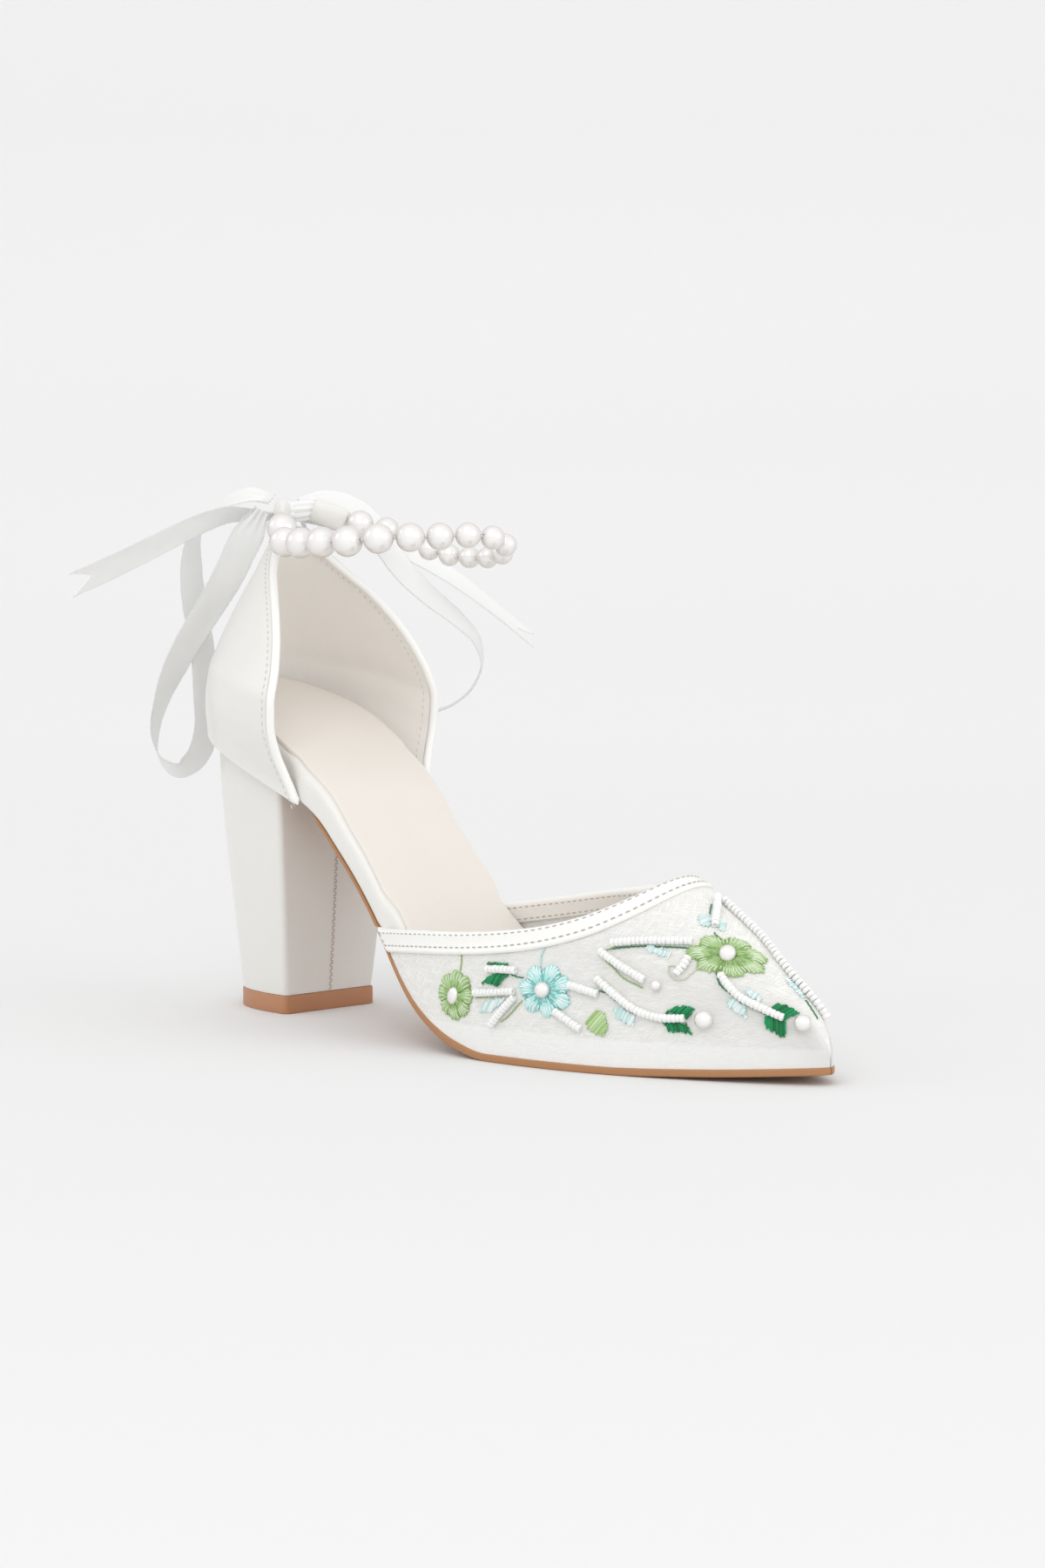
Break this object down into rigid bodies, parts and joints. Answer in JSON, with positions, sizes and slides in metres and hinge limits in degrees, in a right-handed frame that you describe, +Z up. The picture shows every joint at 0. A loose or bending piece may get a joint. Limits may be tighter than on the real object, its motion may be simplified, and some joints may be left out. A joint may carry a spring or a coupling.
{
  "type": "wedding shoe",
  "caption": "Right high-heeled wedding shoe with a pointed embroidered mesh vamp, open waist, tall quarter, pearl ankle strap and satin ribbon bow.",
  "frame": {"origin": "on the floor under the heel, in the middle of its top piece's underside", "axes": "+X to the toe, +Y to the wearer's inner side, +Z up"},
  "size_m": [0.2656, 0.1445, 0.1667],
  "materials": {
    "rubber_lift": "satin",
    "leather": "pearl, satin gloss",
    "sole_leather": "satin",
    "sock": "soft satin",
    "mesh": "sheer mesh with embroidery and beads",
    "pearl": "pearl gloss",
    "elastic": "matt",
    "ribbon": "satin"
  },
  "bodies": {
    "root": {"heel_top_piece": "rubber_lift", "heel_block": "leather", "outsole": "sole_leather", "footbed": "leather", "sock_lining": "sock", "vamp": "mesh", "topline_binding": "leather", "quarter": "leather", "quarter_piping": "leather", "pearl_01": "pearl", "pearl_02": "pearl", "pearl_03": "pearl", "pearl_04": "pearl", "pearl_05": "pearl", "pearl_06": "pearl", "pearl_07": "pearl", "pearl_08": "pearl", "pearl_09": "pearl", "pearl_10": "pearl", "pearl_11": "pearl", "pearl_12": "pearl", "pearl_13": "pearl", "pearl_14": "pearl", "pearl_15": "pearl", "pearl_16": "pearl", "pearl_17": "pearl", "pearl_18": "pearl", "pearl_19": "pearl", "strap_elastic": "elastic", "tab_outer": "leather", "tab_inner": "leather", "bow_knot": "ribbon", "bow_loop_outer": "ribbon", "bow_loop_inner": "ribbon", "ribbon_tail_outer": "ribbon", "ribbon_tail_inner": "ribbon"}
  },
  "joints": []
}
